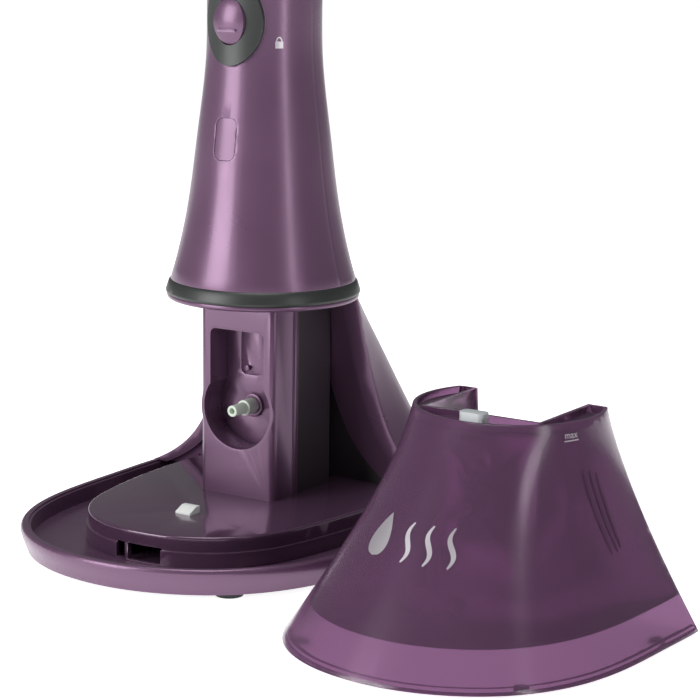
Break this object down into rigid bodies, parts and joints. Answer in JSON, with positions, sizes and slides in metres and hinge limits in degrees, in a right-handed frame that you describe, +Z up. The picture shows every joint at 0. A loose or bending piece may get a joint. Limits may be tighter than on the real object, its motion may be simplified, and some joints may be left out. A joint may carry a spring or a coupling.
{
  "type": "upright steam floor cleaner",
  "caption": "Upright bell-shaped steam floor cleaner with a lift-off wrap-around water tank, telescopic loop handle and push controls.",
  "frame": {"origin": "on the floor, under the axis of the tower", "axes": "+Z up, -Y towards the front, +X towards the parked tank"},
  "size_m": [0.4348, 0.343, 0.5399],
  "materials": {
    "purple_body": "metallic purple, glossy",
    "purple_dark": "dark purple, glossy",
    "tank_clear": "translucent purple, clear gloss",
    "black_gloss": "black, glossy",
    "black_plastic": "black, fine texture",
    "white_plastic": "off-white, satin",
    "nozzle_silicone": "pale translucent silicone",
    "clear_tube": "milky flexible tube",
    "grey_plastic": "light grey, satin",
    "rubber_black": "black, matt",
    "steel": "brushed",
    "cast_alu": "cast, rough",
    "board_green": "solder-masked board"
  },
  "bodies": {
    "base": {"foot_cover": "purple_body", "base_plate": "black_plastic", "rubber_feet": "rubber_black", "base_screws": "steel", "sole_plate": "cast_alu", "platform": "purple_body", "latch_spring": "steel", "latch_seat": "black_plastic", "rear_shell": "purple_body", "rear_bulkhead": "purple_dark", "core_front": "purple_body", "core_rear": "purple_dark", "recess_plate": "purple_dark", "sensor_switch": "black_plastic", "nozzle_collar": "purple_dark", "inlet_nozzle": "nozzle_silicone", "pump": "black_plastic", "pump_cradle": "rubber_black", "boiler": "cast_alu", "boiler_bracket": "steel", "thermostat": "steel", "pump_hose": "clear_tube", "steam_pipe": "steel", "lower_ring": "purple_body", "band_ring": "black_gloss", "upper_body_front": "purple_body", "upper_body_rear": "purple_body", "guide_tube": "steel", "neck_collar": "black_gloss", "button_bezel": "black_gloss", "steam_switch": "black_plastic", "switch_bracket": "black_plastic", "switch_frame": "black_plastic", "power_inlet": "rubber_black", "control_board": "board_green", "board_parts": "black_plastic"},
    "handle": {"handle_stem": "steel", "grip_left": "purple_body", "grip_right": "purple_body", "grip_pad": "rubber_black"},
    "thumb_release": {"thumb_button": "purple_body", "brake_yoke": "black_plastic", "brake_shoe": "rubber_black"},
    "steam_push": {"steam_button": "purple_body"},
    "rocker": {"power_rocker": "black_gloss"},
    "seat_latch": {"platform_latch": "white_plastic"},
    "tank_sensor": {"sensor_tongue": "purple_body"},
    "plug": {"filler_plug": "grey_plastic"},
    "valve": {"valve_poppet": "grey_plastic"},
    "tank": {"tank_shell": "tank_clear", "tank_inner_wall": "tank_clear", "tank_lid": "tank_clear", "tank_floor": "tank_clear", "filler_neck": "tank_clear", "port_body": "tank_clear", "port_seal": "rubber_black", "valve_spring": "steel", "pickup_tube": "clear_tube", "pickup_filter": "clear_tube", "tank_feet": "purple_dark"}
  },
  "joints": [
    {"name": "handle_extend", "type": "slide", "parent": "base", "child": "handle", "axis": [0, 0, 1], "range_m": [0, 0.15]},
    {"name": "thumb_press", "type": "slide", "parent": "base", "child": "thumb_release", "axis": [0, 1, 0], "range_m": [0, 0.003], "stiffness_N_per_m": 600, "springref_m": -0.001},
    {"name": "steam_press", "type": "slide", "parent": "base", "child": "steam_push", "axis": [0, 1, 0], "range_m": [0, 0.002], "stiffness_N_per_m": 500, "springref_m": -0.001},
    {"name": "rocker_tip", "type": "hinge", "parent": "base", "child": "rocker", "pos_m": [0, 0.043, 0.206], "axis": [1, 0, 0], "range_deg": [0, 8]},
    {"name": "latch_press", "type": "slide", "parent": "base", "child": "seat_latch", "axis": [0, 0, -1], "range_m": [0, 0.003], "stiffness_N_per_m": 600, "springref_m": -0.001, "deforming": ["latch_spring"]},
    {"name": "sensor_press", "type": "slide", "parent": "base", "child": "tank_sensor", "axis": [0, 1, 0], "range_m": [0, 0.0025], "stiffness_N_per_m": 300, "springref_m": -0.001},
    {"name": "tank_lift", "type": "slide", "parent": "base", "child": "tank", "axis": [0, 0, 1], "range_m": [0, 0.18]},
    {"name": "plug_pull", "type": "slide", "parent": "tank", "child": "plug", "axis": [0, 0, 1], "range_m": [0, 0.02]},
    {"name": "valve_open", "type": "slide", "parent": "tank", "child": "valve", "axis": [0, -1, 0], "range_m": [0, 0.0025], "stiffness_N_per_m": 300, "springref_m": -0.001}
  ]
}
